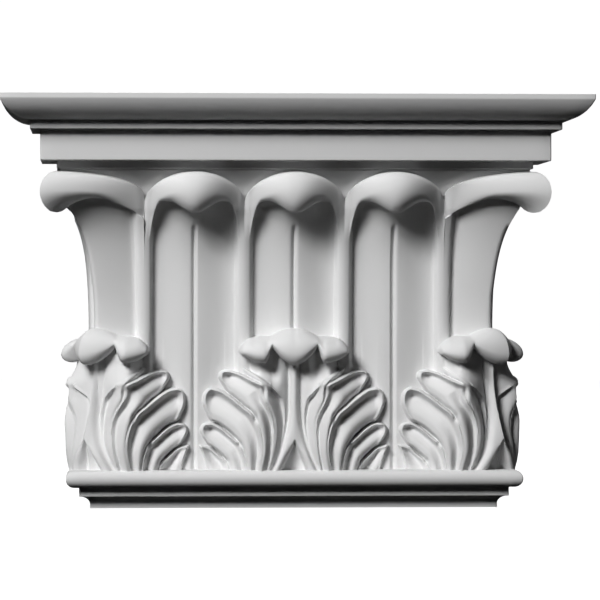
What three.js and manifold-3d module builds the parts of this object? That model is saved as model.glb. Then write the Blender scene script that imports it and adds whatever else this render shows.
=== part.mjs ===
// Pilaster capital of the water-leaf kind, one casting, in millimetres, +Z up.
// The front faces -Y, the flat back lies on the wall plane, and the origin is the centre of the underside.
import * as THREE from "three";
import Module from "manifold-3d";

const { clamp, lerp, smoothstep, degToRad } = THREE.MathUtils;

// Body of the capital
const bodyHalfWidth = 101.7; // axis to the crests between the leaves of the two returns
const returnDepth = 28.5; // wall plane to the crests between the leaves of the front
const sideCrestOut = 2.3; // how far the returns spread from the corner to the wall

// Base, from the underside up: foot fillet, cove, fillet and bead
const footFilletHeight = 2;
const footFilletOut = 2.1;
const coveHeight = 4.2;
const beadFilletHeight = 3.6;
const beadFilletOut = 7.6;
const beadHeight = 9.6;
const beadOut = 14.3;

// Bell and its tall water leaves
const bellHeight = 151.8; // top of the bead to the neck under the abacus
const bellTopOut = 17.3;
const bellLipOut = 10; // reach of the bell where the leaves curl over
const flareHeight = 58.5; // height over which the bell curves out to that reach
const bellBackOut = 5; // reach between the shoulders of the hoods, from that height below the neck
const backHeight = 21;
const hoodHeight = 21.3; // drooping tip to top of a curled leaf
const hoodOut = 27.1;
const hoodRoll = 8; // from the nose of a hood back to its lip and its crown
const hoodNoseDrop = 10.6;
const hoodCrown = 1.35; // how narrow the crown of a hood is
const cornerArchRise = 7.4;
const cornerLipFall = 10;
const cornerShoulderDrop = 12;
const frontArchRise = 5.9;
const hoodShoulderDrop = 16; // how far a hood's top falls from its middle to its shoulders
const lipFall = 19.4; // how far the lip of a hood falls beside the leaf's window
const lipFallShare = 0.6; // of half a leaf's width, where it starts to fall
const windowShare = 0.9; // of half a leaf's width, where the hood ends
const valleyDepth = 4.5; // below the crests
const midribDepth = 1.6;
const cornerMidribDepth = 0.3;
const leafLift = 5.5; // how far a leaf's midrib rises towards its tip
const cornerLeafLift = 2.6;
const liftHeight = 45;
const veinDepth = 1.3;
const veinHalfWidth = 1.8;
const lipTurn = 25; // degrees that a curled lip turns back up
const crestGroove = 3; // opens along a crest towards the hoods on both sides
const crestShare = 0.1; // of half a leaf's width, the crown of each crest
const wallShare = 0.8; // where the wall of the crest starts
const valleyShare = 0.74; // from midrib to valley

// Acanthus leaves, from the top of the bead up
const acanthusHeight = 72;
const bulgeOut = 14; // how far each half of a leaf bulges from the crests of the bell
const footDraw = 1.2; // less at its foot
const bulgeAside = 17; // where it bulges most, from the stem
const neckOut = 9; // the same under the curl
const tipOut = 1.4; // at the tips of the leaflets
const sideLeafSpan = 37; // the half of a corner leaf on the return is narrower than the one on the front
const stemFootOut = 7;
const frontStemOut = 4.6;
const cornerStemOut = -2.5;
const dishDepth = 4.2; // the hollow along each leaflet
const dishShare = 0.42; // of the leaflet's width, where that is less
const cavityDepth = 4.5; // under the side lobes of the curl
const furrowDepth = 2.6;
const furrowHalfWidth = 1.4;
const eyeDepth = 2.4;
const eyeRadius = 2.4;
const edgeDrop = 1.5;
const stemHeight = 3;
const stemHalfWidth = 1.9;
const stemFlare = 9;
const stemFlareHeight = 34;
const forkHeight = 15.4;
const forkSlope = 0.41;
const curlOut = 17.5;
const cornerCurlOut = 11; // beyond the corner of the body
const curlMiddleFall = 4.2; // from the nose of the middle lobe to its sides
const cornerMiddleFall = 1.5;
const curlRoll = 5.5; // from the nose of the curl back to its lip
const curlNoseShare = 0.3; // height of the nose between lip and top
const curlHalfWidth = 28;
const curlDroop = 18.6; // top of the curl to its lowest lip
const curlNotch = 12.5; // how far the lip of the middle lobe rises to its sides
const curlMiddleDrop = 5.4; // and how far its top falls
const curlMiddleShare = 0.5; // of the curl's half width, the middle lobe
const curlSideShare = 0.42; // where the side lobe starts in front of it
const curlSideOut = 16.5;
const curlSideFall = 6; // from the nose of a side lobe to its outer end
const curlSideTop = 3.9; // below the top of the curl
const curlSideRise = 1.2; // from the lowest lip of the middle lobe to that of the side lobe
const curlSideNotch = 6.4;
const curlSideLift = 5.8;
const curlEndDrop = 9;
const cornerTurnWidth = 20; // over which a corner leaf turns from the front to the return

// Abacus, from the neck up: bed, neck fillet, fascia, upper fillet, ovolo and nosing
const bedHeight = 1;
const neckFilletHeight = 3.8;
const neckFilletOut = 18.8;
const fasciaHeight = 15.5;
const fasciaOut = 27;
const upperFilletHeight = 4.5;
const upperFilletOut = 32;
const ovoloHeight = 10.2;
const ovoloEnd = -30; // degrees, where its curve meets the nosing
const noseHeight = 2.4;
const noseOut = 46.9;

// Fineness of the curves
const arcSteps = 6;
const hoodSteps = 9;
const curlSteps = 8;
const leafSteps = 18;
const shaftSteps = 6;
const backSteps = 2;
const halfLeafShares = [0, 0.06, 0.18, 0.3, 0.42, 0.54, 0.66, 0.76, 0.84, 0.92, 1];

const wallY = (returnDepth + footFilletOut) / 2;
const frontY = wallY - returnDepth;
const baseTop = footFilletHeight + coveHeight + beadFilletHeight + beadHeight;
const neckZ = baseTop + bellHeight;
const lipZ = neckZ - hoodHeight + 2;
const acanthusTop = baseTop + acanthusHeight;
const halfPitch = bodyHalfWidth / 4; // half the width of a water leaf
const acanthusSpan = bodyHalfWidth / 2; // half the width of an acanthus leaf
const leafHalfWidth = 50.85; // the leaf is drawn at this half width and height, and fitted to the row
const leafHeight = 72;
const leafNeckHalfWidth = 26; // under the curl
const pastWall = 9; // solids run past the wall plane and are then cut flat on it
const sunk = 2; // how far the bell's solid runs into the base and the abacus
const rowGap = 0.5; // between the rows where one part of a section ends and the next starts

const bump = (distance, width) => Math.exp(-((distance / width) ** 2));
const dome = (share) => Math.sqrt(Math.max(0, 1 - share ** 2));

function arc(out, z, radiusOut, radiusZ, from, to) {
  const points = [];
  for (let i = 0; i <= arcSteps; i += 1) {
    const angle = degToRad(lerp(from, to, i / arcSteps));
    points.push([out + radiusOut * Math.cos(angle), z + radiusZ * Math.sin(angle)]);
  }
  return points;
}

function solidFrom(positions, triangles) {
  const mesh = new wasm.Mesh({
    numProp: 3,
    vertProperties: Float32Array.from(positions.flat()),
    triVerts: Uint32Array.from(triangles.flat()),
  });
  return new wasm.Manifold(mesh);
}

// A closed solid from rows of points, each running from the left of the wall round the front to the right
function loftedSolid(rows) {
  const count = rows[0].length;
  const positions = rows.flat();
  const triangles = [];
  const at = (row, column) => row * count + (column % count);
  for (let row = 0; row + 1 < rows.length; row += 1) {
    for (let column = 0; column < count; column += 1) {
      const [a, b] = [at(row, column), at(row, column + 1)];
      const [c, d] = [at(row + 1, column + 1), at(row + 1, column)];
      triangles.push([a, b, c], [a, c, d]);
    }
  }
  for (const row of [0, rows.length - 1]) {
    const middle = positions.length;
    positions.push([0, rows[row][0][1], rows[row][0][2]]);
    for (let column = 0; column + 1 < count; column += 1) {
      const pair = [at(row, column), at(row, column + 1)];
      triangles.push([middle, ...(row === 0 ? pair.reverse() : pair)]);
    }
    const closing = [middle, at(row, count - 1), at(row, 0)];
    triangles.push(row === 0 ? closing.reverse() : closing);
  }
  return solidFrom(positions, triangles);
}

// A moulding that runs round the front and both returns with mitred corners; profile points are [out, z]
function mouldedBlock(profile) {
  const rows = profile.map(([out, z]) => {
    const [x, y] = [bodyHalfWidth + out, frontY - out];
    return [[-x, wallY + pastWall, z], [-x, y, z], [x, y, z], [x, wallY + pastWall, z]];
  });
  return loftedSolid(rows);
}

function baseBlock() {
  const coveZ = footFilletHeight;
  const filletZ = coveZ + coveHeight;
  const beadZ = filletZ + beadFilletHeight;
  const beadRadius = beadHeight / 2;
  const coveOut = beadFilletOut - footFilletOut;
  return mouldedBlock([
    [footFilletOut, 0],
    ...arc(beadFilletOut, coveZ, coveOut, coveHeight, 180, 90),
    [beadFilletOut, beadZ],
    ...arc(beadOut - beadRadius, beadZ + beadRadius, beadRadius, beadRadius, -90, 90),
  ]);
}

function abacusBlock() {
  const filletZ = neckZ + bedHeight;
  const fasciaZ = filletZ + neckFilletHeight;
  const upperZ = fasciaZ + fasciaHeight;
  const ovoloZ = upperZ + upperFilletHeight;
  const noseZ = ovoloZ + ovoloHeight;
  const ovoloRadius = ovoloHeight / (1 + Math.sin(degToRad(ovoloEnd)));
  const ovoloOut = (noseOut - upperFilletOut) / Math.cos(degToRad(ovoloEnd));
  return mouldedBlock([
    [bellTopOut, neckZ],
    [bellTopOut, filletZ],
    [neckFilletOut, filletZ],
    [neckFilletOut, fasciaZ],
    [fasciaOut, fasciaZ],
    [fasciaOut, upperZ],
    [upperFilletOut, upperZ],
    ...arc(upperFilletOut, ovoloZ + ovoloRadius, ovoloOut, ovoloRadius, -90, ovoloEnd),
    [noseOut, noseZ + noseHeight],
  ]);
}

// Reach of the plain bell at a height
function bellOut(z) {
  if (z >= lipZ) {
    return lerp(bellLipOut, bellTopOut, clamp((z - lipZ) / (neckZ - lipZ), 0, 1));
  }
  const share = clamp(1 - (lipZ - z) / flareHeight, 0, 1);
  return bellLipOut * (0.3 * share ** 1.5 + 0.7 * share ** 4.5);
}

// Reach of the bell behind the hoods, between their shoulders
function bellBack(z) {
  const share = clamp((z - (neckZ - backHeight)) / backHeight, 0, 1);
  return lerp(bellBackOut, bellTopOut, share ** 2);
}

// Hollow of a water leaf below the crests, by the share of its half width from the midrib
function leafHollow({ share, onCornerLeaf }, z) {
  if (share >= valleyShare) {
    return valleyDepth * (1 - smoothstep(share, wallShare, 1 - crestShare));
  }
  const fall = (1 - Math.cos((Math.PI * share) / valleyShare)) / 2;
  const height = clamp(1 - (lipZ - z) / liftHeight, 0, 1);
  const lift = onCornerLeaf ? cornerLeafLift * height : leafLift * height ** 2;
  const midrib = onCornerLeaf ? cornerMidribDepth : midribDepth;
  const vein = onCornerLeaf ? 0 : veinDepth * Math.max(0, 1 - (share * halfPitch) / veinHalfWidth);
  return lerp(midrib - lift, valleyDepth, fall) + vein * (1 - smoothstep(z, lipZ - hoodNoseDrop, lipZ));
}

// Reach of the bell and its water leaves under the hoods
function ground(column, z) {
  return bellOut(z) - leafHollow(column, z);
}

// Groove along a crest, deepest at the hoods
function crestHollow(share, z) {
  const deep = smoothstep(z, neckZ - 1.7 * backHeight, neckZ - 0.8 * backHeight);
  return crestGroove * deep * Math.max(0, 1 - (1 - share) / crestShare);
}

// Height of the lip of a water leaf's hood
function hoodLip({ share, onCornerLeaf }) {
  const tip = neckZ - hoodHeight;
  if (onCornerLeaf) {
    const arch = cornerArchRise * (1 - (1 - Math.min(1, share / 0.45)) ** 2);
    return tip + arch - cornerLipFall * Math.max(0, 2 * share - 1) ** 1.2;
  }
  const past = clamp((share - lipFallShare) / (windowShare - lipFallShare), 0, 1);
  return tip + frontArchRise * smoothstep(share, 0.02, 0.54) - lipFall * past ** 3;
}

function hoodTop({ share, onCornerLeaf }) {
  const drop = onCornerLeaf ? cornerShoulderDrop : hoodShoulderDrop;
  return neckZ - rowGap - drop * (1 - Math.max(0, 1 - share ** 2) ** 0.56);
}

// A point of a curled leaf end, from under its lip round its nose to its top: [rolls back, height, underside]
function curledEnd(part, strength, lip, nose, top) {
  const turn = degToRad(lerp(-90 - lipTurn * Math.min(1, 4 * strength), 90, part));
  const z = turn < 0 ? lerp(nose, lip, -Math.sin(turn)) : lerp(nose, top, Math.sin(turn));
  return [1 - Math.cos(turn), z, turn < 0];
}

// The section of the water leaves through one column: [out, z] from the acanthus up into the abacus
function waterLeafSection(column) {
  const { share } = column;
  const points = [];
  const lip = hoodLip(column);
  const top = hoodTop(column);
  const bulge = dome(share / windowShare);
  const crown = Math.max(0, 1 - (share / windowShare) ** 2) ** hoodCrown;
  const start = acanthusTop + rowGap;
  const end = bulge > 0 ? lip + 1.6 * bulge : lip - rowGap;
  for (let step = 1; step <= shaftSteps; step += 1) {
    const z = lerp(start, end, (step / shaftSteps) ** 0.8);
    points.push([ground(column, z), z]);
  }
  for (let step = 0; step <= hoodSteps; step += 1) {
    const [back, z] = curledEnd(step / hoodSteps, bulge, lip, top - hoodNoseDrop + 4 * share, top);
    const weight = crown * smoothstep(z, neckZ - 38, neckZ - 20);
    points.push([lerp(bellOut(z) - crestHollow(share, z), hoodOut - hoodRoll * back, weight), z]);
  }
  for (let step = 0; step <= backSteps; step += 1) {
    const z = lerp(top + rowGap / 2, neckZ, step / backSteps);
    points.push([bellBack(z), z]);
  }
  points.push([bellTopOut - rowGap, neckZ + sunk / 2]);
  points.push([bellTopOut - rowGap, neckZ + sunk]);
  return points;
}

// Edges between the leaflets of half an acanthus leaf, from its foot out to its tips, as [aside, height]
const leafletEdges = [
  [[12.2, 0], [8, 9], [5.6, 17], [4.6, 26], [5.8, 35.5], [9, 40], [15, 45.2], [21.9, 49.7], [27, 53.5]],
  [[13, 0], [11, 11], [10.4, 21.5], [11.8, 28.4], [15.3, 36], [16, 43], [22.3, 46.6], [29, 49.8], [38, 51.5]],
  [[18.3, 0], [16.4, 11], [18, 21.5], [21.5, 28.6], [26, 32.5], [32.5, 37.8], [38.5, 41.3], [48, 42.6]],
  [[24, 0], [25.4, 7.9], [27.7, 13.2], [32.3, 17.8], [37, 21.7], [41.5, 23.8], [50, 24.8]],
  [[32.5, 0], [34.4, 4.2], [38.7, 8.3], [42.6, 11.3], [50, 14]],
];
const outerEdge = [[45.5, 0], [47.6, 6], [50, 12]];
const lobeTips = [27, 38.4, 46.8, 48, 48.6];
const eyes = [[15.8, 39.4], [20, 26.4], [28.2, 13], [34, 4.4]];

// Distance to an edge, positive on its inner, upper side
function distanceToEdge(edge, aside, height) {
  let nearest = Infinity;
  let sign = 1;
  for (let i = 0; i + 1 < edge.length; i += 1) {
    const [[x0, z0], [x1, z1]] = [edge[i], edge[i + 1]];
    const [dx, dz] = [x1 - x0, z1 - z0];
    const along = clamp(((aside - x0) * dx + (height - z0) * dz) / (dx * dx + dz * dz), 0, 1);
    const distance = Math.hypot(aside - x0 - along * dx, height - z0 - along * dz);
    if (distance < nearest) {
      nearest = distance;
      sign = dx * (height - z0) - dz * (aside - x0) >= 0 ? 1 : -1;
    }
  }
  return sign * nearest;
}

// Relief of an acanthus leaf over the crests of the bell, or nothing outside its outline
function acanthusOut({ aside, onCornerAcanthus }, z) {
  const at = (aside * leafHalfWidth) / acanthusSpan;
  const tall = ((z - baseTop) * leafHeight) / acanthusHeight;
  const distances = leafletEdges.map((edge) => distanceToEdge(edge, at, tall));
  const lobe = distances.filter((distance) => distance < 0).length - 1;
  const beyondLast = lobe + 1 === distances.length;
  const outer = beyondLast ? distanceToEdge(outerEdge, at, tall) : distances[lobe + 1];
  const inner = lobe < 0 ? 0 : -distances[lobe];
  const width = inner + Math.max(0, outer);
  const across = lobe < 0 ? 0 : inner / Math.max(0.01, width);
  const narrowing = 11 * Math.max(0, across - 0.4) ** 1.6 + 5 * (1 - across) ** 9;
  const tip = lobe < 1 ? leafNeckHalfWidth : lobeTips[lobe] - narrowing;
  if (at > tip || outer < 0) {
    return -Infinity;
  }
  const drawn = footDraw * (1 - smoothstep(tall, 0, 12));
  const bulge = lerp(bulgeOut - drawn, neckOut, smoothstep(tall, 42, 55));
  const fall = lerp(bulge, tipOut, smoothstep(at, bulgeAside, Math.max(tip, bulgeAside + 1))) - bulge;
  const stemTopOut = onCornerAcanthus ? cornerStemOut : frontStemOut;
  const stemOut = lerp(stemFootOut, stemTopOut, smoothstep(tall, 0, 48));
  let out = lerp(stemOut, bulge, smoothstep(at, 1, bulgeAside)) + fall;
  if (lobe < 0) {
    out -= cavityDepth * smoothstep(at, 6, 12) * smoothstep(tall, 37, 49);
  } else {
    const dish = smoothstep(across, 0.24, 0.76) - smoothstep(across, 0.02, 0.25);
    out += Math.min(dishDepth, dishShare * width) * dish * smoothstep(tip - at, 0.8, 5.5);
  }
  eyes.forEach(([x, h], i) => {
    const beyond = smoothstep(at, x - 2, x + 3);
    out -= furrowDepth * beyond * bump(distances[i + 1], furrowHalfWidth);
    out -= eyeDepth * bump(Math.hypot(at - x, (tall - h) / 1.8), eyeRadius);
  });
  return out + stemRelief(at, tall) - edgeDrop * smoothstep(at, tip - 1.5, tip);
}

// The stem in the middle of an acanthus leaf, which flares and forks at its foot
function stemRelief(at, tall) {
  const wide = stemHalfWidth + stemFlare * Math.max(0, 1 - tall / stemFlareHeight) ** 2;
  const fork = Math.max(0, forkHeight - tall) * forkSlope;
  if (fork > 0 && at < fork) {
    return 0;
  }
  const branch = dome((at - (fork + wide) / 2) / Math.max(0.5, (wide - fork) / 2));
  return stemHeight * lerp(dome(at / wide), branch, smoothstep(forkHeight - tall, 0, 9));
}

// Lip, top, nose and strength of the three-lobed curl at the head of an acanthus leaf
function curlShape({ aside, onCornerAcanthus }) {
  const share = (aside * leafHalfWidth) / acanthusSpan / curlHalfWidth;
  const lowest = acanthusTop - curlDroop;
  const middleOut = onCornerAcanthus ? cornerCurlOut : curlOut;
  const middleFall = onCornerAcanthus ? cornerMiddleFall : curlMiddleFall;
  const strength = 1 - smoothstep(share, 0.94, 1.01);
  if (strength === 0) {
    return { lip: lowest, top: acanthusTop, nose: 0, strength };
  }
  if (share < curlSideShare) {
    const off = share / curlMiddleShare;
    const lip = lowest + curlNotch * off ** 1.65;
    const top = acanthusTop - curlMiddleDrop * off ** 2;
    return { lip, top, nose: middleOut - middleFall * off ** 2.5, strength };
  }
  const away = clamp((share - curlSideShare) / (1 - curlSideShare), 0, 1);
  const start = Math.max(0, 1 - away / 0.19);
  const rise = curlSideNotch * start ** 1.6 + curlSideLift * Math.max(0, (away - 0.19) / 0.81) ** 1.5;
  const lip = lowest + curlSideRise + rise;
  const top = acanthusTop - curlSideTop - curlEndDrop * away ** 3;
  const outer = curlSideOut - curlSideFall * away ** 2.2;
  const nose = lerp(outer, middleOut - middleFall, Math.max(0, 1 - away / 0.3) ** 2);
  return { lip: Math.min(lip, top - 1), top, nose, strength };
}

// The section of the acanthus row through one column, from inside the base up to the top of the row
function acanthusSection(column) {
  const { lip, top, nose, strength } = curlShape(column);
  const surface = (z) => Math.max(ground(column, z), acanthusOut(column, z));
  const points = [[surface(baseTop), baseTop - sunk], [surface(baseTop), baseTop - sunk / 2]];
  const leafEnd = strength > 0 ? lip + 1.5 * strength : lip - rowGap;
  for (let step = 0; step < leafSteps; step += 1) {
    const z = lerp(baseTop, leafEnd, step / (leafSteps - 1));
    points.push([surface(z), z]);
  }
  const root = ground(column, top) + rowGap;
  for (let step = 0; step <= curlSteps; step += 1) {
    const [back, z, under] = curledEnd(step / curlSteps, strength, lip, lerp(lip, top, curlNoseShare), top);
    const roll = under ? curlRoll : Math.max(curlRoll, nose - root);
    points.push([lerp(surface(z), nose - roll * back, strength), z]);
  }
  points.push([ground(column, acanthusTop + rowGap), acanthusTop + rowGap]);
  return points;
}

// Distance of each column along the outline from the axis
function columnPlaces() {
  const places = new Set();
  const last = bodyHalfWidth + returnDepth + pastWall;
  for (let centre = -4; centre <= 4; centre += 2) {
    for (const share of halfLeafShares) {
      places.add((centre + share) * halfPitch);
      places.add((centre - share) * halfPitch);
    }
  }
  for (const side of [-1, 1]) {
    places.add(side * (bodyHalfWidth + returnDepth));
    places.add(side * last);
  }
  return [...places].filter((place) => Math.abs(place) <= last).sort((a, b) => a - b);
}

// Where a column stands, the leaves that it crosses and the way that its relief stands out
function columnAt(place) {
  const along = Math.abs(place);
  const fromCorner = along - bodyHalfWidth;
  const pastCorner = Math.max(0, fromCorner);
  const onCornerLeaf = along > 3 * halfPitch;
  const centre = onCornerLeaf ? 4 : 2 * Math.round(along / halfPitch / 2);
  const onCornerAcanthus = along > acanthusSpan;
  const besideCorner = Math.max((pastCorner * acanthusSpan) / sideLeafSpan, -fromCorner);
  const far = clamp(fromCorner / halfPitch, -1, 1);
  const near = clamp(fromCorner / cornerTurnWidth, -1, 1);
  return {
    side: Math.sign(place),
    x: Math.min(along, bodyHalfWidth) + sideCrestOut * Math.min(1, pastCorner / returnDepth),
    y: frontY + pastCorner,
    share: Math.min(1, Math.abs(along / halfPitch - centre)),
    aside: onCornerAcanthus ? besideCorner : along,
    bellTurn: degToRad(45 + 45 * Math.sign(far) * Math.abs(far) ** 1.5),
    leafTurn: degToRad(45 + 45 * Math.sin((near * Math.PI) / 2)),
    onCornerLeaf,
    onCornerAcanthus,
  };
}

// A point of a section follows the bell's mitre, and turns with an acanthus leaf where that stands off it
function stand(column, [out, z]) {
  const { side, x, y, bellTurn, leafTurn } = column;
  const mitred = out / Math.max(Math.cos(bellTurn), Math.sin(bellTurn));
  const offBell = z > acanthusTop ? 0 : smoothstep(out - ground(column, z), 0, 4);
  const aside = lerp(mitred * Math.sin(bellTurn), out * Math.sin(leafTurn), offBell);
  const forward = lerp(mitred * Math.cos(bellTurn), out * Math.cos(leafTurn), offBell);
  return [side * (x + aside), y - forward, z];
}

function bellSolid() {
  const columns = columnPlaces().map((place) => {
    const column = columnAt(place);
    return [...acanthusSection(column), ...waterLeafSection(column)].map((point) => stand(column, point));
  });
  const ends = [columns[0], columns.at(-1)];
  for (const point of ends.flat()) {
    point[1] = wallY + pastWall;
  }
  const rows = columns[0].map((_, row) => columns.map((column) => column[row]));
  return loftedSolid(rows);
}

// What lies behind the wall plane
function behindWall() {
  const reach = bodyHalfWidth + noseOut + pastWall;
  const rows = [-pastWall, neckZ + 2 * noseOut].map((z) => [
    [-reach, wallY + 3 * pastWall, z],
    [-reach, wallY, z],
    [reach, wallY, z],
    [reach, wallY + 3 * pastWall, z],
  ]);
  return loftedSolid(rows);
}

function geometryOf(solid) {
  const mesh = solid.getMesh();
  const geometry = new THREE.BufferGeometry();
  geometry.setAttribute("position", new THREE.BufferAttribute(mesh.vertProperties, mesh.numProp));
  geometry.setIndex(new THREE.BufferAttribute(mesh.triVerts, 1));
  return geometry;
}

const wasm = await Module();
wasm.setup();

const primer = new THREE.MeshStandardMaterial({ color: 0xdad9d6, roughness: 0.82, metalness: 0 });
const casting = bellSolid().add(baseBlock()).add(abacusBlock()).subtract(behindWall());
const capital = new THREE.Mesh(geometryOf(casting), primer);
capital.name = "capital";

const part = new THREE.Group();
part.add(capital);
export default part;
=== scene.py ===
"""Pilaster capital with water leaves over a row of acanthus, one casting in white primer.

Sizes are in millimetres and turned into metres where the mesh is made. The front faces -Y.
Reach, or out, is how far a point stands off the outline through the crests of the bell.
"""

import math

import bpy
import numpy as np
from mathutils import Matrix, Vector


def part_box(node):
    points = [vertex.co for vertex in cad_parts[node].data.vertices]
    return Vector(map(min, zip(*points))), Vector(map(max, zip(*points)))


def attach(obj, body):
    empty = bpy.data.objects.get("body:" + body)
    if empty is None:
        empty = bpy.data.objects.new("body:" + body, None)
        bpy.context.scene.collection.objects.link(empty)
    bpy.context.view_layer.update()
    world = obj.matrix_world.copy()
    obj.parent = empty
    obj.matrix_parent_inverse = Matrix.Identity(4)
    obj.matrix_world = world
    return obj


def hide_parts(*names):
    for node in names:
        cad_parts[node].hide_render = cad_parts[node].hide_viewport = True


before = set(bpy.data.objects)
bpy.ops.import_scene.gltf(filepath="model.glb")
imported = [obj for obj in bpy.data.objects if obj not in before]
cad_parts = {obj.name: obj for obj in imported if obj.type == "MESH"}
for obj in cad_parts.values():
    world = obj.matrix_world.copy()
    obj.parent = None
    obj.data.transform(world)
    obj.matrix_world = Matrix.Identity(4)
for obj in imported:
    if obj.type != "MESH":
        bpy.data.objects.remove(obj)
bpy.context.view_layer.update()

MM = 0.001
low, high = (np.array(corner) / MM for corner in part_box("capital"))

# Body, from the frame's box
wall_y = high[1]
nose_out = 46.9
body_half_width = high[0] - nose_out
front_y = low[1] + nose_out
return_depth = wall_y - front_y

# Base, from the underside up
foot_fillet_height = 2.0
foot_fillet_out = 2.1
cove_height = 4.2
bead_fillet_height = 4.6
bead_fillet_out = 7.6
bead_height = 8.6
bead_out = 14.3

# Bell
bell_height = 151.8
bell_top_out = 17.3
bell_lip_out = 10.0
lip_above_tips = 2.0  # the bell's lip over the tips of the hoods
flare_height = 58.5
flare_curve = ((0.3, 1.5), (0.7, 4.5))  # parts of the flare, and the power that each grows by
bell_back_out = 5.0  # between the shoulders of the hoods
back_height = 21.0
side_crest_out = 2.3  # how far the returns spread from the corner to the wall
bell_turn_power = 1.5

# Hollows and crests of the water leaves; a share runs from the midrib to the crest
valley_share = 0.74
valley_depth = 4.5
corner_valley_depth = 2.8
midrib_depth = 1.6
corner_midrib_depth = 0.3
lift_height = 45.0
leaf_lift = 5.5  # how far the midrib comes forward towards the hood
leaf_lift_power = 3.5
corner_leaf_lift = 2.6
vein_depth = 1.6
vein_half_width = 1.8
vein_top_below_neck = 26.5
vein_fade = 2.0
corner_vein_share = 0.4
wall_share = 0.8
crest_share = 0.1
crest_crown = 0.6
crest_groove = 3.0  # opens along a crest towards the hoods on both sides of it
groove_start = 1.7  # in back heights below the neck
groove_full = 0.8

# Hoods of the water leaves
hood_height = 21.3
hood_out = 27.1
hood_roll = 8.0
hood_nose_drop = 10.6
hood_nose_rise = 4.0  # how much less the nose drops at the shoulders
hood_crown = 1.35
hood_blend = (38.0, 20.0)  # below the neck, where the hood leaves the bell and is all hood
hood_undercut = 3.4
hood_shoulder_drop = 16.0
corner_shoulder_drop = 12.0
shoulder_power = 0.56
window_share = 0.9  # where the hood ends
front_arch_rise = 5.9
front_arch_shares = (0.02, 0.54)
lip_fall = 19.4
lip_fall_share = 0.6
lip_fall_power = 3
corner_arch_rise = 7.4
corner_arch_share = 0.45
corner_lip_fall = 10.0
corner_fall_share = 0.5
corner_fall_power = 1.2
lip_turn = 50.0  # degrees that a curled lip turns back up
lip_turn_gain = 4.0
lip_rib = 0.5
lip_rib_turn = -1.25
lip_rib_width = 0.12

# Acanthus leaves, drawn at this half width and height and fitted to the row
leaf_half_width = 50.85
leaf_height = 72.0
acanthus_height = 72.0
side_leaf_span = 37.0  # a corner leaf's half on the return is narrower
corner_turn_width = 20.0
turn_reach = 4.0  # off the bell, over which a section takes the leaf's turn
bulge_out = 14.0
bulge_aside = 17.0
foot_tuck = 2.2
foot_tuck_height = 14.0
neck_out = 9.0
neck_heights = (42, 55)
leaf_neck_half_width = 26.0
tip_out = 1.4
edge_drop = 1.5
edge_width = 1.6
off_leaf = -6.0  # reach beside a leaf, behind the bell
cavity_depth = 4.5  # under the side lobes of the curl
corner_cavity_depth = 1.2
cavity_aside = (6, 12)
cavity_heights = (37, 49)

# Leaflets; a share runs across a leaflet from its inner edge
dish_depth = 4.2
dish_share = 0.42
dish_run_out = (0.8, 5.5)  # from the tip
# Each step of the dish: its rise, and the shares that it runs over
dish_steps = ((1.08, 0.24, 0.76), (-1.0, 0.02, 0.25), (-0.4, 0.86, 1))
tip_outer_fall = 11.0
tip_outer_share = 0.4
tip_outer_power = 1.6
tip_inner_fall = 5.0
tip_inner_power = 9
rim_height = 0.9
rim_half_width = 0.7
rim_from_edge = 1.3
tip_rim_share = 0.8
tip_rim_from_tip = 1.4
tip_rim_half_width = 0.9
first_rim_height = 1.1
first_rim_from_edge = 0.9
first_rim_half_width = 0.8
first_rim_heights = (34, 40)
eye_depth = 2.2
slit_half_width = 0.7
slit_from_edge = 0.3
slit_run_in = (-0.5, 3)

# Stem, forked at its foot
stem_height = 3.0
stem_foot_out = 7.0
front_stem_out = 4.6
corner_stem_out = -2.5
stem_lean_height = 48
stem_clear = 1
stem_half_width = 1.9
stem_flare = 9.0
stem_flare_height = 34.0
stem_groove_depth = 1.6
stem_groove_from_edge = 1.2
stem_groove_half_width = 1.0
fork_height = 15.4
fork_slope = 0.41
fork_edge = (-0.5, 0.3)
fork_blend_height = 9
fork_recess = 2.6
fork_recess_height = 12
least_branch = 0.5
least_width = 0.01

# Three-lobed curl; a share runs from the stem to the curl's end
curl_half_width = 28.0
curl_droop = 18.6
curl_roll = 5.5
curl_nose_share = 0.3
curl_undercut = 1.6
curl_clear = 0.1
curl_ends = (0.94, 1.01)
curl_out = 17.5
corner_curl_out = 11.0
curl_middle_share = 0.5
curl_middle_fall = 4.2
curl_middle_fall_power = 2.5
corner_middle_fall = 1.5
curl_middle_drop = 5.4
curl_notch = 12.5
curl_notch_power = 1.8
curl_side_share = 0.42
curl_side_out = 16.5
curl_side_fall = 6.0
curl_side_fall_power = 2.2
curl_side_top = 3.9
curl_side_rise = 1.2
curl_side_notch = 8.0
curl_side_notch_power = 1.6
curl_side_low = 0.19  # of a side lobe's width, where its lip is lowest
curl_side_lift = 5.0
curl_side_lift_power = 2.2
curl_side_blend = 0.3
curl_end_drop = 6.5
curl_end_drop_power = 4
curl_least_height = 0.8

# Abacus, from the neck up
bed_height = 1.0
neck_fillet_height = 3.8
neck_fillet_out = 18.8
fascia_height = 15.5
fascia_out = 27.0
upper_fillet_height = 4.5
upper_fillet_out = 32.0
ovolo_height = 10.2
ovolo_end = -30.0

# Worked out from the sizes above
base_top = foot_fillet_height + cove_height + bead_fillet_height + bead_height
neck_z = base_top + bell_height
lip_z = neck_z - hood_height + lip_above_tips
acanthus_top = base_top + acanthus_height
half_pitch = body_half_width / 4
acanthus_span = body_half_width / 2

# How the bell runs into the wall, the base and the abacus, and the gap between parts of a section
past_wall = 9.0
sunk = 2.0
sunk_shares = (0.1, 1.0)
neck_inset = 0.4
row_gap = 0.5

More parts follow.
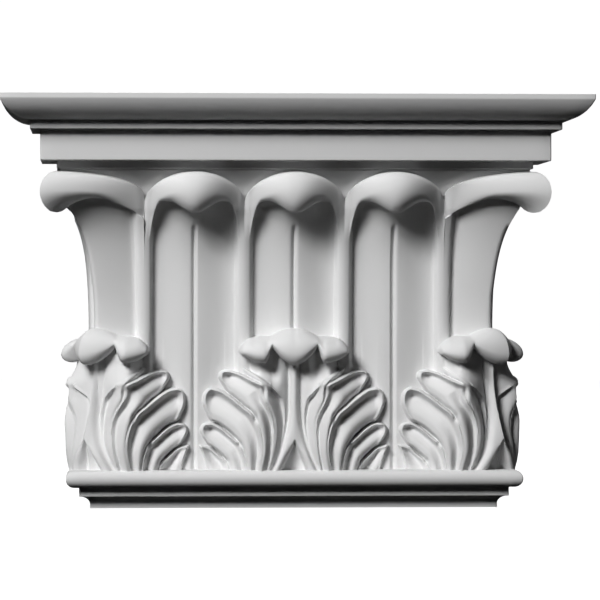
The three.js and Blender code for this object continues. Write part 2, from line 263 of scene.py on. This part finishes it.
# Fineness of the mesh
column_step = 0.5
leaf_rows = 140
curl_rows = 44
join_rows = 4
shaft_rows = 34
hood_rows = 44
back_rows = 8
cove_steps = 14
bead_steps = 24
ovolo_steps = 20
run_points = 41
corner_points = 5
table_step = 0.2
table_width = 54
table_foot = -3
table_top = 75
last_cell = 1.001
blur_rounds = 2
most_triangles = 176000
thin_clear = 0.2
sharp_angle = 38

# Easing of the mouldings' edges
edge_radius = 0.45
corner_radius = 0.7
edge_of_side = 0.45
straight = -0.9
shortest = 1e-6
ease_steps = (0, 0.33, 0.67, 1)

# Edges between the leaflets of half an acanthus leaf, from its foot to its tips: (aside, height)
leaflet_edges = [
    [
        *[(12.2, 0), (8, 9), (5.6, 17), (4.6, 26), (5.8, 35.5), (9, 40)],
        *[(15, 45.2), (21.9, 49.7), (27, 53.5)],
    ],
    [
        *[(13, 0), (11, 11), (10.4, 21.5), (11.8, 28.4), (15.3, 36), (16, 43)],
        *[(22.3, 46.6), (29, 49.8), (38, 51.5)],
    ],
    [
        *[(18.3, 0), (16.4, 11), (18, 21.5), (21.5, 28.6), (26, 32.5)],
        *[(32.5, 37.8), (38.5, 41.3), (48, 42.6)],
    ],
    [(24, 0), (25.4, 7.9), (27.7, 13.2), (32.3, 17.8), (37, 21.7), (41.5, 23.8), (50, 24.8)],
    [(32.5, 0), (34.4, 4.2), (38.7, 8.3), (42.6, 11.3), (50, 14)],
    [(45.5, 0), (47.6, 6), (50, 12), (53, 17)],
]
# How far aside the tips of the leaflets reach, from the second leaflet out
lobe_tips = [38.4, 46.8, 48, 48.6]
# Eyes where the slits between the leaflets start:
# (aside, height, half width, half height, depth of the slit)
eyes = [
    (15.8, 39.4, 1.2, 3.6, 2.2),
    (20, 26.4, 1.1, 2.6, 2.6),
    (28.2, 13, 0.9, 1.6, 4.4),
    (34, 4.4, 0.9, 1.4, 4.4),
]

# The photograph: its size, the rows and columns where the part stands in it, and its camera
photo_size = 600
mm_per_pixel = 0.51
underside_pixel = 507.5
axis_pixel = (293.9, 300.0)
view_distance = 1850.0
view_azimuth = -3.0
sensor_width = 36
clip_start = 0.05

# Studio, in metres and watts; each light has a name, a place, a width and a power
room = 3.0
stage_shade = 0.12
stage_roughness = 0.9
world_strength = 0.008
view_gamma = 0.85
light_aim = (0, 0, 0.1)
lights = [
    ("key", (-1.05, -1.5, 1.3), 0.7, 48),
    ("side_fill", (2.2, 0.4, 0.8), 1.0, 3),
    ("back_fill", (0.6, 2.0, 1.0), 1.0, 20),
]

# Primer
primer_roughness = 0.72
primer_specular = 0.3
tone_scale = 22
tone_detail = 5
tones = ((0.3, (0.5, 0.5, 0.496, 1)), (0.72, (0.56, 0.56, 0.556, 1)))
grain_scale = 900
grain_detail = 3
grain_strength = 0.12
grain_depth = 0.0003


def lerp(a, b, t):
    return a + (b - a) * t


def smoothstep(x, start, end):
    t = np.clip((x - start) / (end - start), 0, 1)
    return t * t * (3 - 2 * t)


def bump(distance, width):
    return np.exp(-((distance / width) ** 2))


def dome(share):
    return np.sqrt(np.maximum(0, 1 - share**2))


def smooth_curve(points, steps=10):
    """A smooth curve through a few chosen points."""
    p = np.array(points, float)
    p = np.vstack([2 * p[0] - p[1], p, 2 * p[-1] - p[-2]])
    t = np.linspace(0, 1, steps, endpoint=False)[:, None]
    spans = []
    for a, b, c, d in zip(p[:-3], p[1:-2], p[2:-1], p[3:]):
        square = 2 * a - 5 * b + 4 * c - d
        cube = 3 * b - a - 3 * c + d
        spans.append(0.5 * (2 * b + (c - a) * t + square * t**2 + cube * t**3))
    return np.vstack(spans + [p[-2:-1]])


def signed_distance(curve, aside, tall):
    """Distance to a curve, positive on its inner, upper side."""
    nearest = np.full(aside.shape, np.inf)
    sign = np.ones(aside.shape)
    for (x0, z0), (x1, z1) in zip(curve[:-1], curve[1:]):
        dx, dz = x1 - x0, z1 - z0
        along = np.clip(((aside - x0) * dx + (tall - z0) * dz) / (dx * dx + dz * dz), 0, 1)
        distance = np.hypot(aside - x0 - along * dx, tall - z0 - along * dz)
        closer = distance < nearest
        nearest = np.where(closer, distance, nearest)
        side = np.where(dx * (tall - z0) - dz * (aside - x0) >= 0, 1, -1)
        sign = np.where(closer, side, sign)
    return sign * nearest


def stem_relief(at, tall):
    """The stem over the ground of its leaf, with its fork at the foot and a groove beside it."""
    flare = np.maximum(0, 1 - np.maximum(0, tall) / stem_flare_height) ** 2
    half_width = stem_half_width + stem_flare * flare
    fork = np.maximum(0, fork_height - tall) * fork_slope
    branch = (at - (fork + half_width) / 2) / np.maximum(least_branch, (half_width - fork) / 2)
    forked = smoothstep(fork_height - tall, 0, fork_blend_height)
    beside_fork = np.where(tall < fork_height, smoothstep(at - fork, *fork_edge), 1)
    stem = stem_height * lerp(dome(at / half_width), dome(branch), forked) * beside_fork
    groove = stem_groove_depth * bump(at - half_width - stem_groove_from_edge, stem_groove_half_width)
    groove += fork_recess * (1 - beside_fork) * smoothstep(fork_height - tall, 0, fork_recess_height)
    return stem, groove


def leaf_tables():
    """Reach of half an acanthus leaf on a table of aside and height, for the front and the corners."""
    aside_line = np.arange(0, table_width, table_step)
    tall_line = np.arange(table_foot, table_top, table_step)
    at, tall = np.meshgrid(aside_line, tall_line, indexing="ij")
    distances = np.array([signed_distance(smooth_curve(edge), at, tall) for edge in leaflet_edges])
    last = len(leaflet_edges) - 1
    lobe = (distances[:last] < 0).sum(axis=0) - 1
    lobe = np.where(distances[last] < 0, last, lobe)
    inner = -np.take_along_axis(distances, np.clip(lobe, 0, last)[None], axis=0)[0]
    outer = np.take_along_axis(distances, np.clip(lobe + 1, 0, last)[None], axis=0)[0]
    width = inner + np.maximum(0, outer)
    inside = (lobe >= 0) & (lobe < last)
    across = np.where(inside, inner / np.maximum(least_width, width), 0)
    shaped = lobe >= 1
    tips = np.array([leaf_neck_half_width, leaf_neck_half_width, *lobe_tips, 0])
    tip_fall = tip_outer_fall * np.maximum(0, across - tip_outer_share) ** tip_outer_power
    tip_fall += tip_inner_fall * (1 - across) ** tip_inner_power
    tip = tips[np.clip(lobe + 1, 0, last + 1)] - np.where(shaped, tip_fall, 0)
    to_tip = tip - at

    tuck = foot_tuck * (1 - np.clip(tall / foot_tuck_height, 0, 1)) ** 2
    bulge = lerp(bulge_out, neck_out, smoothstep(tall, *neck_heights))
    spread = smoothstep(at, bulge_aside, np.maximum(tip, bulge_aside + 1))
    fall = lerp(bulge, tip_out, spread) - bulge

    dish = sum(rise * smoothstep(across, start, end) for rise, start, end in dish_steps)
    depth = np.minimum(dish_depth, dish_share * width)
    relief = depth * dish * inside * smoothstep(to_tip, *dish_run_out)
    for edge, (eye_aside, eye_tall, half_width, half_height, slit_depth) in zip(distances[1:], eyes):
        beyond = smoothstep(at, eye_aside + slit_run_in[0], eye_aside + slit_run_in[1])
        below = np.where(edge < 0, 1, 0)
        relief -= slit_depth * beyond * bump(edge - slit_from_edge, slit_half_width)
        relief += rim_height * beyond * below * bump(edge + rim_from_edge, rim_half_width)
        beside, above = (at - eye_aside) / half_width, (tall - eye_tall) / half_height
        relief -= eye_depth * bump(beside, 1) * bump(above, 1)
    relief += rim_height * tip_rim_share * bump(to_tip - tip_rim_from_tip, tip_rim_half_width) * shaped
    first_rim = first_rim_height * bump(distances[0] + first_rim_from_edge, first_rim_half_width)
    relief += first_rim * smoothstep(tall, *first_rim_heights)

    stem, groove = stem_relief(at, tall)
    wall = edge_drop * (1 - smoothstep(to_tip, 0, edge_width))
    cavity = (lobe < 0) * smoothstep(at, *cavity_aside) * smoothstep(tall, *cavity_heights)
    outside = (to_tip < 0) | (lobe >= last)

    def reach(top_stem_out, cavity_in):
        stem_out = lerp(stem_foot_out, top_stem_out, smoothstep(tall, 0, stem_lean_height))
        ground = lerp(stem_out, bulge, smoothstep(at, stem_clear, bulge_aside)) + fall - tuck
        leaf = ground + relief + stem - groove - wall - cavity_in * cavity
        return soften(np.where(outside, off_leaf, leaf))

    return reach(front_stem_out, cavity_depth), reach(corner_stem_out, corner_cavity_depth)


def soften(field):
    """Rounds the carving by a light blur, as a cast keeps it."""
    for axis in (0, 1):
        for _ in range(blur_rounds):
            padded = np.pad(field, [(1, 1) if axis == a else (0, 0) for a in (0, 1)], mode="edge")
            before = np.take(padded, np.arange(field.shape[axis]), axis)
            after = np.take(padded, np.arange(field.shape[axis]) + 2, axis)
            field = (before + 2 * field + after) / 4
    return field


def look_up(table, aside, tall):
    """Value of a table between its cells."""
    i = np.clip(aside / table_step, 0, table.shape[0] - last_cell)
    j = np.clip((tall - table_foot) / table_step, 0, table.shape[1] - last_cell)
    i0, j0 = i.astype(int), j.astype(int)
    fi, fj = i - i0, j - j0
    left = lerp(table[i0, j0], table[i0, j0 + 1], fj)
    right = lerp(table[i0 + 1, j0], table[i0 + 1, j0 + 1], fj)
    return lerp(left, right, fi)


def bell_out(z):
    """Reach of the plain bell at a height."""
    share = np.clip(1 - (lip_z - z) / flare_height, 0, 1)
    curve = bell_lip_out * sum(part * share**power for part, power in flare_curve)
    neck = lerp(bell_lip_out, bell_top_out, np.clip((z - lip_z) / (neck_z - lip_z), 0, 1))
    return np.where(z >= lip_z, neck, curve)


def bell_back(z):
    """Reach of the bell behind the hoods, between their shoulders."""
    share = np.clip((z - (neck_z - back_height)) / back_height, 0, 1)
    return lerp(bell_back_out, bell_top_out, share**2)


def leaf_hollow(share, z, on_corner):
    """Hollow of a water leaf below the crests, by the share of its half width from the midrib."""
    height = np.clip(1 - (lip_z - z) / lift_height, 0, 1)
    lift = np.where(on_corner, corner_leaf_lift * height, leaf_lift * height**leaf_lift_power)
    across = np.clip(share / valley_share, 0, 1)
    fall = np.where(on_corner, across**2, (1 - np.cos(np.pi * across)) / 2)
    midrib = np.where(on_corner, corner_midrib_depth, midrib_depth)
    valley = np.where(on_corner, corner_valley_depth, valley_depth)
    panel = lerp(midrib - lift, valley, fall)
    rise = valley * (1 - smoothstep(share, wall_share, 1 - crest_share))
    vein_top = neck_z - vein_top_below_neck
    fade = 1 - smoothstep(z, vein_top - vein_fade, vein_top)
    deep = vein_depth * np.where(on_corner, corner_vein_share, 1)
    vein = deep * np.maximum(0, 1 - share * half_pitch / vein_half_width) * fade
    return np.where(share < valley_share, panel + vein, rise - crest_rise(share))


def crest_rise(share):
    return crest_crown * np.maximum(0, 1 - ((1 - share) / crest_share) ** 2)


def crest_hollow(share, z):
    """Groove that opens along a crest towards the hoods on both sides of it."""
    deep = smoothstep(z, neck_z - groove_start * back_height, neck_z - groove_full * back_height)
    return crest_groove * deep * np.maximum(0, 1 - (1 - share) / crest_share)


class Columns:
    """Where each vertical section stands on the outline, and the leaves that it crosses."""

    def __init__(self):
        last = body_half_width + return_depth + past_wall
        count = int(2 * last / column_step) | 1
        place = np.linspace(-last, last, count)
        self.side = np.sign(place)
        self.along = np.abs(place)
        from_corner = self.along - body_half_width
        past_corner = np.maximum(0, from_corner)
        spread = side_crest_out * np.minimum(1, past_corner / return_depth)
        self.x = np.minimum(self.along, body_half_width) + spread
        self.y = front_y + past_corner
        self.on_corner_leaf = self.along > 3 * half_pitch
        centre = np.where(self.on_corner_leaf, 4, 2 * np.round(self.along / half_pitch / 2))
        self.share = np.minimum(1, np.abs(self.along / half_pitch - centre))
        self.on_corner_acanthus = self.along > acanthus_span
        beyond = past_corner * acanthus_span / side_leaf_span
        from_corner_leaf = np.maximum(beyond, -from_corner)
        self.aside = np.where(self.on_corner_acanthus, from_corner_leaf, self.along)
        far = np.clip(from_corner / half_pitch, -1, 1)
        self.bell_turn = np.radians(45 + 45 * np.sign(far) * np.abs(far) ** bell_turn_power)
        near = np.clip(from_corner / corner_turn_width, -1, 1)
        self.leaf_turn = np.radians(45 + 45 * np.sin(near * math.pi / 2))

    def ground(self, z):
        """Reach of the bell and its water leaves under the hoods."""
        return bell_out(z) - leaf_hollow(self.share, z, self.on_corner_leaf)

    def stand(self, out, z):
        """Points of the sections, on the bell's mitre or, off the bell, on the leaf's turn."""
        mitred = out / np.maximum(np.cos(self.bell_turn), np.sin(self.bell_turn))
        off_bell = smoothstep(out - self.ground(z), 0, turn_reach) * (z <= acanthus_top)
        dx = lerp(mitred * np.sin(self.bell_turn), out * np.sin(self.leaf_turn), off_bell)
        dy = lerp(mitred * np.cos(self.bell_turn), out * np.cos(self.leaf_turn), off_bell)
        return np.stack(np.broadcast_arrays(self.side * (self.x + dx), self.y - dy, z), axis=-1)


def curl_lobes(on_corner, share):
    """Lip, top, nose and strength of the three-lobed curl at the head of an acanthus leaf."""
    middle_out = np.where(on_corner, corner_curl_out, curl_out)
    middle_fall = np.where(on_corner, corner_middle_fall, curl_middle_fall)
    lowest = acanthus_top - curl_droop
    off = np.minimum(1, share / curl_middle_share)
    lip = lowest + curl_notch * off**curl_notch_power
    top = acanthus_top - curl_middle_drop * off**2
    nose = middle_out - middle_fall * np.minimum(1, share / curl_side_share) ** curl_middle_fall_power

    away = np.clip((share - curl_side_share) / (1 - curl_side_share), 0, 1)
    notch = curl_side_notch * np.maximum(0, 1 - away / curl_side_low) ** curl_side_notch_power
    beyond_low = np.maximum(0, (away - curl_side_low) / (1 - curl_side_low))
    side_lift = curl_side_lift * beyond_low**curl_side_lift_power
    side_lip = lowest + curl_side_rise + (notch + side_lift)
    side_top = acanthus_top - curl_side_top - curl_end_drop * away**curl_end_drop_power
    side_out = curl_side_out - curl_side_fall * away**curl_side_fall_power
    side_nose = lerp(side_out, middle_out - middle_fall, np.maximum(0, 1 - away / curl_side_blend) ** 2)
    beside = share >= curl_side_share
    lip = np.where(beside, np.minimum(side_lip, side_top - curl_least_height), lip)
    top = np.where(beside, side_top, top)
    nose = np.where(beside, side_nose, nose)
    return lip, top, nose, 1 - smoothstep(share, *curl_ends)


def curled_end(strength, lip, nose, top, count):
    """A curled leaf end from under its lip round its nose to its top: turn, height, and rolls back."""
    start = -90 - lip_turn * np.minimum(1, lip_turn_gain * strength)
    turn = np.radians(lerp(start, 90, np.linspace(0, 1, count)[:, None]))
    z = np.where(turn < 0, lerp(nose, lip, -np.sin(turn)), lerp(nose, top, np.sin(turn)))
    return turn, z, 1 - np.cos(turn)


def acanthus_rows(columns):
    """Sections of the acanthus row: [row, column] reach and height."""
    front_table, corner_table = leaf_tables()
    on_corner = columns.on_corner_acanthus
    aside = columns.aside * leaf_half_width / acanthus_span
    lip, top, nose, strength = curl_lobes(on_corner, aside / curl_half_width)

    def surface(z):
        tall = (z - base_top) * leaf_height / acanthus_height
        at = np.broadcast_to(aside, z.shape)
        leaf = np.where(on_corner, look_up(corner_table, at, tall), look_up(front_table, at, tall))
        return np.maximum(columns.ground(z), leaf)

    t = np.linspace(0, 1, leaf_rows)[:, None]
    leaf_end = np.where(strength > 0, lip + curl_undercut * strength, lip - row_gap)
    leaf_z = lerp(base_top, leaf_end, t)
    leaf_z = np.vstack([np.full_like(leaf_z[:1], base_top - sunk), leaf_z])
    leaf_out = surface(np.maximum(leaf_z, base_top))

    turn, curl_z, back = curled_end(strength, lip, lerp(lip, top, curl_nose_share), top, curl_rows)
    behind = surface(curl_z)
    root = columns.ground(top) + row_gap
    roll = np.where(turn < 0, curl_roll, np.maximum(curl_roll, nose - root))
    curl_line = lerp(behind, nose - roll * back, strength)
    curl_line = np.where(turn < 0, np.maximum(curl_line, behind + curl_clear * strength), curl_line)
    join_z = lerp(top + row_gap / 2, acanthus_top + row_gap, np.linspace(0, 1, join_rows)[:, None])
    out = np.vstack([leaf_out, curl_line, columns.ground(join_z)])
    z = np.vstack([leaf_z, curl_z, join_z])
    return out, z


def hood_lips(share, on_corner):
    """Lip and top of the hood of a water leaf."""
    past = np.clip((share - lip_fall_share) / (window_share - lip_fall_share), 0, 1)
    front_arch = front_arch_rise * smoothstep(share, *front_arch_shares)
    front_arch = front_arch - lip_fall * past**lip_fall_power
    corner_arch = corner_arch_rise * (1 - (1 - np.minimum(1, share / corner_arch_share)) ** 2)
    corner_arch -= corner_lip_fall * np.maximum(0, share / corner_fall_share - 1) ** corner_fall_power
    lip = neck_z - hood_height + np.where(on_corner, corner_arch, front_arch)
    drop = np.where(on_corner, corner_shoulder_drop, hood_shoulder_drop)
    top = neck_z - row_gap - drop * (1 - np.maximum(0, 1 - share**2) ** shoulder_power)
    return lip, top


def water_leaf_rows(columns):
    """Sections of the water leaves from the acanthus row up into the abacus."""
    share = columns.share
    lip, top = hood_lips(share, columns.on_corner_leaf)
    bulge = dome(share / window_share)

    t = np.linspace(0, 1, shaft_rows + 1)[1:, None]
    shaft_end = np.where(bulge > 0, lip + hood_undercut * bulge, lip - row_gap)
    shaft_z = lerp(acanthus_top + row_gap, shaft_end, t)
    shaft_out = columns.ground(shaft_z)

    nose = top - hood_nose_drop + hood_nose_rise * share
    turn, hood_z, back = curled_end(bulge, lip, nose, top, hood_rows)
    crown = np.maximum(0, 1 - (share / window_share) ** 2) ** hood_crown
    weight = crown * smoothstep(hood_z, neck_z - hood_blend[0], neck_z - hood_blend[1])
    roll = hood_out - hood_roll * back + lip_rib * bump(turn - lip_rib_turn, lip_rib_width)
    hood_line = lerp(bell_out(hood_z) + crest_rise(share) - crest_hollow(share, hood_z), roll, weight)

    back_z = lerp(top + row_gap / 2, neck_z, np.linspace(0, 1, back_rows)[:, None])
    neck_rows = neck_z + sunk * np.array(sunk_shares)[:, None] + 0 * share
    neck_line = np.full_like(neck_rows, bell_top_out - neck_inset)
    out = np.vstack([shaft_out, hood_line, bell_back(back_z), neck_line])
    z = np.vstack([shaft_z, hood_z, back_z, neck_rows])
    return out, z


def bell_rows():
    columns = Columns()
    low_out, low_z = acanthus_rows(columns)
    high_out, high_z = water_leaf_rows(columns)
    rows = columns.stand(np.vstack([low_out, high_out]), np.vstack([low_z, high_z]))
    rows[:, 0, 1] = wall_y + past_wall
    rows[:, -1, 1] = wall_y + past_wall
    return rows


def arc(out, z, radius_out, radius_z, start, end, steps):
    angles = np.radians(np.linspace(start, end, steps + 1))
    return [(out + radius_out * math.cos(a), z + radius_z * math.sin(a)) for a in angles]


def rounded(profile):
    """A profile with its corners eased by a small radius."""
    p = np.array(profile, float)
    eased = [p[0]]
    for before, at, after in zip(p[:-2], p[1:-1], p[2:]):
        back, on = before - at, after - at
        short = min(np.linalg.norm(back), np.linalg.norm(on))
        bend = np.dot(back, on) / (np.linalg.norm(back) * np.linalg.norm(on))
        if bend < straight or short < shortest:
            eased.append(at)
            continue
        reach = min(edge_radius, edge_of_side * short)
        start = at + back / np.linalg.norm(back) * reach
        end = at + on / np.linalg.norm(on) * reach
        for t in ease_steps:
            eased.append((1 - t) ** 2 * start + 2 * t * (1 - t) * at + t**2 * end)
    eased.append(p[-1])
    return eased


def moulding_rows(profile):
    """A moulding run round the front and both returns; profile points are (out, z)."""
    run = np.linspace(-1, 1, run_points)
    quarter = np.radians(np.linspace(0, 90, corner_points))
    rows = []
    for out, z in rounded(profile):
        x, y = body_half_width + out, front_y - out
        cx, cy = x - corner_radius, y + corner_radius
        right = [
            (cx + corner_radius * math.sin(a), cy - corner_radius * math.cos(a), z) for a in quarter
        ]
        left = [(-px, py, pz) for px, py, pz in reversed(right)]
        line = [(-x, wall_y + past_wall, z)] + left
        line += [(cx * t, y, z) for t in run[1:-1]]
        line += right + [(x, wall_y + past_wall, z)]
        rows.append(line)
    return rows


def base_profile():
    cove_z = foot_fillet_height
    fillet_z = cove_z + cove_height
    bead_z = fillet_z + bead_fillet_height
    radius = bead_height / 2
    cove_out = bead_fillet_out - foot_fillet_out
    return (
        [(foot_fillet_out, 0)]
        + arc(bead_fillet_out, cove_z, cove_out, cove_height, 180, 90, cove_steps)
        + [(bead_fillet_out, bead_z)]
        + arc(bead_out - radius, bead_z + radius, radius, radius, -90, 90, bead_steps)
    )


def abacus_profile():
    fillet_z = neck_z + bed_height
    fascia_z = fillet_z + neck_fillet_height
    upper_z = fascia_z + fascia_height
    ovolo_z = upper_z + upper_fillet_height
    radius_z = ovolo_height / (1 + math.sin(math.radians(ovolo_end)))
    radius_out = (nose_out - upper_fillet_out) / math.cos(math.radians(ovolo_end))
    return (
        [
            (bell_top_out, neck_z),
            (bell_top_out, fillet_z),
            (neck_fillet_out, fillet_z),
            (neck_fillet_out, fascia_z),
            (fascia_out, fascia_z),
            (fascia_out, upper_z),
            (upper_fillet_out, upper_z),
        ]
        + arc(upper_fillet_out, ovolo_z + radius_z, radius_out, radius_z, -90, ovolo_end, ovolo_steps)
        + [(nose_out, high[2])]
    )


def behind_wall_rows():
    reach = body_half_width + nose_out + past_wall
    far = wall_y + 3 * past_wall
    outline = [(-reach, far), (-reach, wall_y), (reach, wall_y), (reach, far)]
    return [[(x, y, z) for x, y in outline] for z in (-past_wall, high[2] + past_wall)]


def mesh_object(name, points, faces):
    mesh = bpy.data.meshes.new(name)
    mesh.from_pydata([tuple(p) for p in points], [], faces)
    mesh.validate()
    thing = bpy.data.objects.new(name, mesh)
    bpy.context.scene.collection.objects.link(thing)
    return thing


def lofted_object(name, rows):
    """A closed mesh from rows of points, each running from the left of the wall round the front."""
    rows = np.asarray(rows) * MM
    count = rows.shape[1]
    index = np.arange(rows.shape[0] * count).reshape(rows.shape[0], count)
    following = np.roll(index, -1, axis=1)
    quads = np.stack([index[:-1], following[:-1], following[1:], index[1:]], axis=-1).reshape(-1, 4)
    points = rows.reshape(-1, 3)
    faces = quads.tolist()
    for row, flip in ((0, True), (rows.shape[0] - 1, False)):
        middle = len(points)
        points = np.vstack([points, [[0, rows[row, 0, 1], rows[row, 0, 2]]]])
        ring = index[row]
        for a, b in zip(ring, np.roll(ring, -1)):
            faces.append([middle, int(b), int(a)] if flip else [middle, int(a), int(b)])
    return mesh_object(name, points, faces)


def bake_modifiers(thing):
    """Replaces a mesh by what its modifiers make of it, and counts its triangles."""
    bpy.context.view_layer.update()
    graph = bpy.context.evaluated_depsgraph_get()
    baked = bpy.data.meshes.new_from_object(thing.evaluated_get(graph))
    thing.modifiers.clear()
    thing.data = baked
    return sum(len(face.vertices) - 2 for face in baked.polygons)


def combine(target, operation, other):
    joint = target.modifiers.new("join", "BOOLEAN")
    joint.operation = operation
    joint.solver = "MANIFOLD"
    joint.object = other


def thin_carving(body, joined):
    """Thins the carving to the most triangles allowed, and leaves the mouldings as they are."""
    carving = body.vertex_groups.new(name="carving")
    heights = np.array([vertex.co.z for vertex in body.data.vertices]) / MM
    within = np.flatnonzero((heights > base_top + thin_clear) & (heights < neck_z - thin_clear))
    carving.add(within.tolist(), 1.0, "REPLACE")
    thin = body.modifiers.new("thin", "DECIMATE")
    thin.ratio = min(1.0, most_triangles / joined)
    thin.use_collapse_triangulate = True
    thin.vertex_group = carving.name
    thin.vertex_group_factor = 1.0
    thinned = bake_modifiers(body)
    body.vertex_groups.clear()
    print("triangles", joined, thinned)


def carved_capital():
    body = lofted_object("capital_carved", bell_rows())
    helpers = [
        ("UNION", lofted_object("base_run", moulding_rows(base_profile()))),
        ("UNION", lofted_object("abacus_run", moulding_rows(abacus_profile()))),
        ("DIFFERENCE", lofted_object("behind_wall", behind_wall_rows())),
    ]
    for operation, helper in helpers:
        combine(body, operation, helper)
    thin_carving(body, bake_modifiers(body))
    for _, helper in helpers:
        bpy.data.objects.remove(helper)
    body.data.polygons.foreach_set("use_smooth", np.ones(len(body.data.polygons), bool))
    body.data.set_sharp_from_angle(angle=math.radians(sharp_angle))
    return body


def primer_material():
    """Matte primer with slow changes of tone and a fine grain."""
    material = bpy.data.materials.new("primed_casting")
    material.use_nodes = True
    nodes, links = material.node_tree.nodes, material.node_tree.links
    shader = nodes["Principled BSDF"]
    shader.inputs["Roughness"].default_value = primer_roughness
    shader.inputs["Specular IOR Level"].default_value = primer_specular
    place = nodes.new("ShaderNodeTexCoord")
    broad = nodes.new("ShaderNodeTexNoise")
    broad.inputs["Scale"].default_value = tone_scale
    broad.inputs["Detail"].default_value = tone_detail
    ramp = nodes.new("ShaderNodeValToRGB")
    for element, (position, color) in zip(ramp.color_ramp.elements, tones):
        element.position = position
        element.color = color
    fine = nodes.new("ShaderNodeTexNoise")
    fine.inputs["Scale"].default_value = grain_scale
    fine.inputs["Detail"].default_value = grain_detail
    relief = nodes.new("ShaderNodeBump")
    relief.inputs["Strength"].default_value = grain_strength
    relief.inputs["Distance"].default_value = grain_depth
    links.new(place.outputs["Object"], broad.inputs["Vector"])
    links.new(place.outputs["Object"], fine.inputs["Vector"])
    links.new(broad.outputs["Fac"], ramp.inputs["Fac"])
    links.new(ramp.outputs["Color"], shader.inputs["Base Color"])
    links.new(fine.outputs["Fac"], relief.inputs["Height"])
    links.new(relief.outputs["Normal"], shader.inputs["Normal"])
    return material


def stage_material():
    """White that shines by itself, so the floor and the walls stay even."""
    material = bpy.data.materials.new("stage_white")
    material.use_nodes = True
    shader = material.node_tree.nodes["Principled BSDF"]
    shader.inputs["Base Color"].default_value = (stage_shade, stage_shade, stage_shade, 1)
    shader.inputs["Roughness"].default_value = stage_roughness
    shader.inputs["Emission Color"].default_value = (1, 1, 1, 1)
    shader.inputs["Emission Strength"].default_value = 1.0
    return material


def photo_camera():
    """A camera level with the part's middle and a little to its left, framed as the photograph is."""
    middle_z = (underside_pixel - axis_pixel[1]) * mm_per_pixel
    turn = math.radians(view_azimuth)
    back = Vector((math.sin(turn), -math.cos(turn), 0))
    aim = Vector((0, front_y, middle_z)) * MM
    camera = bpy.data.cameras.new("camera")
    thing = bpy.data.objects.new("camera", camera)
    bpy.context.scene.collection.objects.link(thing)
    thing.location = aim + back * view_distance * MM
    thing.rotation_euler = (-back).to_track_quat("-Z", "Y").to_euler()
    camera.sensor_fit = "HORIZONTAL"
    camera.sensor_width = sensor_width
    camera.lens = sensor_width * view_distance / (photo_size * mm_per_pixel)
    camera.shift_x = (photo_size / 2 - axis_pixel[0]) / photo_size
    camera.shift_y = (axis_pixel[1] - photo_size / 2) / photo_size
    camera.clip_start = clip_start
    bpy.context.scene.camera = thing


def area_light(name, place, width, power):
    light = bpy.data.lights.new(name, "AREA")
    light.energy = power
    light.size = width
    thing = bpy.data.objects.new(name, light)
    bpy.context.scene.collection.objects.link(thing)
    thing.location = place
    thing.rotation_euler = (Vector(place) - Vector(light_aim)).to_track_quat("Z", "Y").to_euler()


def stage_plane(name, corners, material):
    thing = mesh_object(name, corners, [[0, 1, 2, 3]])
    thing.data.materials.append(material)
    thing.visible_diffuse = False
    thing.visible_glossy = False


def studio():
    """A pale floor and four pale walls, a soft key light on the left and two weak fills."""
    scene = bpy.context.scene
    scene.view_settings.view_transform = "Standard"
    scene.view_settings.gamma = view_gamma
    white = stage_material()
    corners = [(-room, -room), (room, -room), (room, room), (-room, room)]
    stage_plane("floor", [(x, y, 0) for x, y in corners], white)
    for i, (a, b) in enumerate(zip(corners, corners[1:] + corners[:1])):
        stage_plane(f"wall_{i}", [(*a, 0), (*b, 0), (*b, room), (*a, room)], white)
    world = bpy.data.worlds.new("world")
    world.use_nodes = True
    world.node_tree.nodes["Background"].inputs["Color"].default_value = (1, 1, 1, 1)
    world.node_tree.nodes["Background"].inputs["Strength"].default_value = world_strength
    scene.world = world
    for light in lights:
        area_light(*light)


def main():
    photo_camera()
    capital = carved_capital()
    capital.data.materials.append(primer_material())
    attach(capital, "root")
    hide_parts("capital")
    studio()


main()
